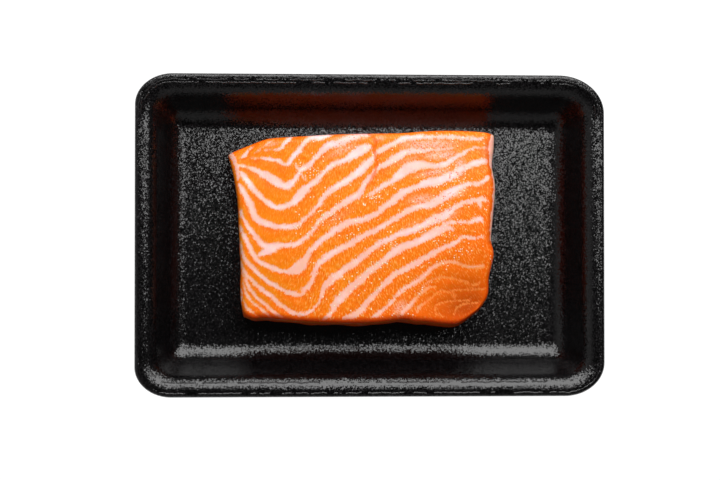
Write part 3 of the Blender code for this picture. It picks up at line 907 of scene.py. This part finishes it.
def flesh_material():
    """Moist salmon: orange flakes of fine fibres, crossed by ragged lines of pale fat."""
    made, tree, shader = new_material("salmon_flesh", FLESH_FINISH)
    place = add(tree, "ShaderNodeTexCoord").outputs["Object"]
    split = add(tree, "ShaderNodeSeparateXYZ", {"Vector": place})
    x, y = split.outputs["X"], split.outputs["Y"]
    fat, fibre, across, deep, side, glint, cloud, border = (
        attribute(tree, name)
        for name in ("fat", "fibre", "across", "deep", "side", "glint", "cloud", "border")
    )
    grain = vector(tree, fibre, times(tree, across, 0.16), times(tree, deep, 0.5))
    threads = noise(tree, grain, 1.9, detail=4.0, roughness=0.6)
    patches = noise(tree, place, PATCHES, detail=2.0)
    notches = noise(tree, place, NOTCHES, detail=1.0)
    crumbs = noise(tree, place, CRUMBS, detail=1.0)
    aside = number(tree, "POWER", minus(tree, x, DARK_CORNER[0]), 2.0)
    behind = number(tree, "POWER", minus(tree, y, DARK_CORNER[1]), 2.0)
    corner = number(tree, "SQRT", plus(tree, aside, behind))

    # Short strokes of cut fibre, which the smooth left end and the corner lack.
    strand = times(tree, attribute(tree, "strand"), 2.1)
    strand_run = times(tree, attribute(tree, "strand_run"), 0.55)
    ticks = noise(tree, vector(tree, strand, strand_run, times(tree, deep, 0.5)), 1.0, detail=1.0)
    zone = times(
        tree, ramp(tree, x, -0.050, -0.020, 0.35, 1.0), ramp(tree, corner, 0.010, 0.034, 0.25, 1.0)
    )

    # The flakes: painted light and painted shade on either side of the fat among patches of tone, darker
    # towards the lower right corner, partly as painted shade, and painted shade over the edges.
    lit_side_and_tone = plus(tree, times(tree, side, 0.50), ramp(tree, patches, 0.30, 0.72, -0.12, 0.30))
    flesh = layered(
        tree, FLESH,
        (ramp(tree, lit_side_and_tone, 0.05, 0.60), GOLD_FLESH),
        (ramp(tree, lit_side_and_tone, 0.05, -0.45), DEEP_FLESH),
        (ramp(tree, minus(tree, x, y), 0.010, 0.055), DEEP_FLESH),
        (ramp(tree, corner, 0.028, 0.0), CORNER_FLESH_AND_SHADE),
        (ramp(tree, border, UNSHADED_BORDER, 1.0, 0.0, 0.55), SHADED_EDGE_FLESH),
        (times(tree, zone, ramp(tree, ticks, 0.48, 0.32, 0.0, 0.70)), DARK_TICK),
        (times(tree, zone, ramp(tree, ticks, 0.53, 0.68, 0.0, 0.75)), LIGHT_TICK),
        (times(tree, zone, ramp(tree, crumbs, 0.56, 0.74, 0.0, 0.20)), LIGHT_TICK),
    )

    # The outline of the fat, cut across by the fibres and frayed, and the clouds of fat.
    cut = times(tree, off_middle(tree, ticks, 2.3), ramp(tree, x, -0.046, -0.024, 0.35, 1.0))
    jag = plus(tree, off_middle(tree, threads, 0.9), off_middle(tree, notches, 1.6))
    jag = times(tree, jag, ramp(tree, corner, 0.020, 0.036, 0.35, 1.0))
    fray = off_middle(tree, crumbs, 0.7)
    golden = ramp(tree, corner, 0.036, 0.020)
    ragged = plus(tree, plus(tree, fat, jag), plus(tree, cut, fray))
    for shift in (
        ramp(tree, x, -0.036, -0.016, -0.12, 0.10),
        ramp(tree, x, 0.010, 0.035, 0.0, -0.08),
        times(tree, side, ramp(tree, x, -0.030, -0.012, 0.12, -0.08)),
        times(tree, golden, -0.12),
        ramp(tree, border, 2.8, 0.3, 0.0, -0.45),
    ):
        ragged = plus(tree, ragged, shift)
    speckle = plus(tree, off_middle(tree, ticks, 0.7), fray)
    haze = times(tree, cloud, ramp(tree, speckle, -0.14, 0.10, 0.40, 1.30))
    strength = ramp(tree, attribute(tree, "girth"), 0.10, 0.60, 0.60, 1.0)
    thin = times(tree, ramp(tree, ragged, -0.70, 0.00), strength)
    thin = number(tree, "MAXIMUM", thin, haze, clamp=True)
    thick = ramp(tree, ragged, -0.35, 0.45)

    # Its colour: peach where it is thin, pink where it is thick, whiter in patches and whitest at the back,
    # where the whitening is painted sheen.
    white = plus(tree, ramp(tree, patches, 0.40, 0.70, 0.0, 0.7), ramp(tree, y, -0.030, 0.045, 0.0, 0.60))
    white = times(tree, white, ramp(tree, fat, 0.1, 1.2, 0.4, 1.0), clamp=True)
    fatty = layered(
        tree, PEACH_FAT,
        (number(tree, "MAXIMUM", thick, times(tree, haze, 0.8), clamp=True), PINK_FAT),
        (times(tree, white, thick), WHITE_FAT),
        (times(tree, golden, ramp(tree, fat, 0.9, 0.2)), GOLD_FAT),
    )

    # Painted shadow where the flakes part at the seam.
    split_line = plus(tree, attribute(tree, "seam"), off_middle(tree, notches, 1.2))
    seam_shadow = times(tree, ramp(tree, split_line, 1.15, 0.35), ramp(tree, y, 0.020, 0.026, 0.0, 0.7))

    # Painted glints: pin-point bright flecks on the wet surface, dense where it is torn. Also small holes
    # in the clouds of fat.
    pins = add(tree, "ShaderNodeTexVoronoi", {"Vector": place, "Scale": PINS}, feature="F1")
    chance = add(tree, "ShaderNodeSeparateColor", {"Color": pins.outputs["Color"]}).outputs[0]
    off_centre = pins.outputs["Distance"]
    limit = minus(tree, 0.968, times(tree, glint, 0.42))
    limit = plus(tree, limit, times(tree, minus(tree, 1.0, zone), 0.08))
    glint_dot = times(tree, number(tree, "GREATER_THAN", chance, limit), ramp(tree, off_centre, 0.55, 0.30))
    holes = number(tree, "LESS_THAN", chance, times(tree, cloud, 0.28))
    holes = times(tree, holes, ramp(tree, off_centre, 0.60, 0.35, 0.0, 0.75))

    # The membranes, and painted shade: a red line beside the right one.
    skirt = plus(tree, attribute(tree, "membrane"), plus(tree, fray, jag))
    beside = times(tree, ramp(tree, skirt, -2.2, -0.7), ramp(tree, x, 0.044, 0.050, 0.0, 0.65))
    film = times(tree, ramp(tree, skirt, -0.30, 0.25), ramp(tree, deep, 3.0, 0.6))

    # Laid over the flesh: the fat, the painted seam shadow, the painted glints, painted shade along the
    # edges, holes, the painted red shade by the right membrane, the membranes, and down the sides a redder
    # flesh that is partly painted shade.
    colour = layered(
        tree, flesh,
        (thin, fatty),
        (seam_shadow, DARK_TICK),
        (times(tree, glint_dot, 0.9), PAINTED_GLINT_FLECK),
        (ramp(tree, border, 3.6, 0.4, 0.0, 0.85), SHADED_SIDE_FLESH),
        (holes, DARK_TICK),
        (beside, RED_EDGE_SHADE),
        (times(tree, film, 0.85), MEMBRANE),
        (ramp(tree, deep, 0.3, 4.0, 0.0, 0.80), SHADED_SIDE_FLESH),
    )
    tree.links.new(colour, shader.inputs["Base Color"])

    # The relief of the fibres and of the flecks.
    height = plus(tree, times(tree, threads, 0.4), times(tree, ticks, 0.35))
    height = plus(tree, height, times(tree, glint_dot, plus(tree, glint, 0.3)))
    normal = bumped(tree, height, FLESH_BUMP)
    tree.links.new(normal, shader.inputs["Normal"])
    tree.links.new(normal, shader.inputs["Coat Normal"])
    return made


FOAM_FINISH = {"Roughness": 0.17, "IOR": 1.5}
FOAM_DARK = (0.0008, 0.0007, 0.0008, 1)
FOAM_LIGHT = (0.0110, 0.0098, 0.0106, 1)
CREASE_TONE = (0.020, 0.018, 0.019, 1)
CREASE_DEPTH = 0.00025

# The foam's cells per metre, how far each one tilts, and how far the shading leans at the back: towards
# the front on the rim, and up on the wall.
FOAM_CELLS = 2400.0
CELL_TILT = 0.29
RIM_LEAN = -0.15
WALL_LEAN = 0.17

# Creases of the rim: the distance past the crest in millimetres, and 1 for the back or -1 for the front.
CREASES = [(-2.4, 1), (-1.0, 1), (0.1, 1), (1.4, 1), (-1.0, -1), (3.9, -1)]


def crease_lines(tree, over, run, y):
    """Broken wavy lines along the rim."""
    total = 0.0
    for index, (where, end) in enumerate(CREASES):
        strength = 1.0 if end > 0 else 0.6
        track = vector(tree, times(tree, run, 0.22), 7.0 * index)
        waver = off_middle(tree, noise(tree, track, 1.0, detail=3.0, roughness=0.6), 2.2)
        breaks = vector(tree, times(tree, run, 0.16), 7.0 * index + 3.5)
        strokes = ramp(tree, noise(tree, breaks, 1.0), 0.44, 0.52)
        gap = number(tree, "ABSOLUTE", minus(tree, plus(tree, over, waver), where))
        line = times(tree, ramp(tree, gap, 0.36, 0.05), strokes)
        line = times(tree, line, ramp(tree, times(tree, y, float(end)), 0.048, 0.058, 0.0, strength))
        total = number(tree, "MAXIMUM", total, line)
    return total


def foam_material():
    """Black expanded foam: a glossy skin of fine cells, each one tilted a little, creased along the rim."""
    made, tree, shader = new_material("black_foam", FOAM_FINISH)
    place = add(tree, "ShaderNodeTexCoord").outputs["Object"]
    y = add(tree, "ShaderNodeSeparateXYZ", {"Vector": place}).outputs["Y"]
    over, run = attribute(tree, "over"), attribute(tree, "run")
    cells = add(tree, "ShaderNodeTexVoronoi", {"Vector": place, "Scale": FOAM_CELLS}, feature="F1")
    middle = (0.5, 0.5, 0.5)
    tilt = add(tree, "ShaderNodeVectorMath", {0: cells.outputs["Color"], 1: middle}, operation="SUBTRACT")
    tilt = add(tree, "ShaderNodeVectorMath", {0: tilt.outputs[0], "Scale": CELL_TILT}, operation="SCALE")
    folds = crease_lines(tree, over, run, y)
    creased = bumped(tree, folds, CREASE_DEPTH)
    behind = ramp(tree, y, 0.050, 0.056)
    on_rim = times(tree, ramp(tree, over, -4.0, -2.5), ramp(tree, over, 3.5, 1.5))
    on_wall = times(tree, ramp(tree, over, 6.0, 10.0), ramp(tree, over, 30.0, 22.0))
    forwards = times(tree, times(tree, on_rim, behind), RIM_LEAN)
    upwards = times(tree, times(tree, on_wall, behind), WALL_LEAN)
    lean = vector(tree, 0.0, forwards, upwards)
    tilt = add(tree, "ShaderNodeVectorMath", {0: tilt.outputs[0], 1: lean}, operation="ADD")
    normal = add(tree, "ShaderNodeVectorMath", {0: creased, 1: tilt.outputs[0]}, operation="ADD")
    normal = add(tree, "ShaderNodeVectorMath", {0: normal.outputs[0]}, operation="NORMALIZE").outputs[0]
    tree.links.new(normal, shader.inputs["Normal"])
    chance = add(tree, "ShaderNodeSeparateColor", {"Color": cells.outputs["Color"]}).outputs[0]
    tone = mixed(tree, ramp(tree, chance, 0.45, 1.0), FOAM_DARK, FOAM_LIGHT)
    tone = mixed(tree, folds, tone, CREASE_TONE)
    tree.links.new(tone, shader.inputs["Base Color"])
    return made


# The camera looks nearly straight down, at the point of the rim's plane that is in the middle of the frame.
FRAME_WIDTH_AT_RIM = 0.3212
VIEW_CENTRE = Vector((-0.0050, -0.0021, 0.0235))
CAMERA_HEIGHT = 0.75
CAMERA_ASIDE = Vector((-0.040, -0.012))
SENSOR = 36.0

# The soft lights: place, size and watts. They all aim at the middle of the tray.
LIGHTS = {
    "key": ((0.09, 0.385, 0.49), (0.70, 0.57), 6.5),
    "front_fill": ((0.0, -0.60, 0.30), (1.00, 0.56), 0.44),
    "left_fill": ((-0.50, 0.04, 0.36), (0.90, 0.56), 0.50),
}
LIGHT_AIM = Vector((0.0, 0.0, 0.0))

# The white ground, and the surround's strength in reflections and to the camera.
FLOOR_HALF = 3.0
FLOOR_FINISH = {
    "Base Color": (0.1, 0.1, 0.1, 1),
    "Roughness": 0.9,
    "Emission Color": (1, 1, 1, 1),
    "Emission Strength": 1.0,
}
WORLD_FILL = 0.025
WORLD_SHOWN = 0.92


def add_camera():
    """A camera whose frame is the photograph's."""
    data = bpy.data.cameras.new("camera")
    camera = bpy.data.objects.new("camera", data)
    bpy.context.scene.collection.objects.link(camera)
    camera.location = VIEW_CENTRE + Vector((CAMERA_ASIDE.x, CAMERA_ASIDE.y, CAMERA_HEIGHT))
    away = camera.location - VIEW_CENTRE
    back = away.normalized()
    side = Vector((0, 1, 0)).cross(away).normalized()
    camera.rotation_euler = Matrix((side, back.cross(side), back)).transposed().to_euler()
    data.sensor_width = SENSOR
    data.lens = SENSOR * away.length / FRAME_WIDTH_AT_RIM
    bpy.context.scene.camera = camera


def add_lights():
    """Area lights that the camera doesn't see."""
    for name, (place, size, power) in LIGHTS.items():
        data = bpy.data.lights.new(name, "AREA")
        data.shape = "RECTANGLE"
        data.size, data.size_y = size
        data.energy = power
        light = bpy.data.objects.new(name, data)
        bpy.context.scene.collection.objects.link(light)
        light.location = place
        light.visible_camera = False
        light.rotation_euler = (LIGHT_AIM - light.location).to_track_quat("-Z", "Y").to_euler()


def add_floor():
    """A white ground, which is no part of the object."""
    corners = ((-1, -1), (1, -1), (1, 1), (-1, 1))
    points = np.array([(x * FLOOR_HALF, y * FLOOR_HALF, 0.0) for x, y in corners])
    white = new_material("pale_floor", FLOOR_FINISH)[0]
    make_mesh("floor", points, [(0, 1, 2, 3)], white)


def add_world():
    """A dim surround for the reflections, which the camera sees as pale."""
    world = bpy.data.worlds.new("studio")
    world.use_nodes = True
    bpy.context.scene.world = world
    tree = world.node_tree
    seen = add(tree, "ShaderNodeLightPath").outputs["Is Camera Ray"]
    glow = add(tree, "ShaderNodeMapRange", {"Value": seen, "To Min": WORLD_FILL, "To Max": WORLD_SHOWN})
    tree.links.new(glow.outputs["Result"], tree.nodes["Background"].inputs["Strength"])
    tree.nodes["Background"].inputs["Color"].default_value = (1, 1, 1, 1)


def main():
    """The stage, and then the two pieces in place of their solids."""
    add_camera()
    add_world()
    add_lights()
    add_floor()
    tray = make_tray(foam_material())
    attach(tray, "root")
    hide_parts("tray")
    fillet = make_fillet(flesh_material())
    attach(fillet, "root")
    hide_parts("salmon")
    bpy.context.scene.view_settings.view_transform = "Standard"


main()
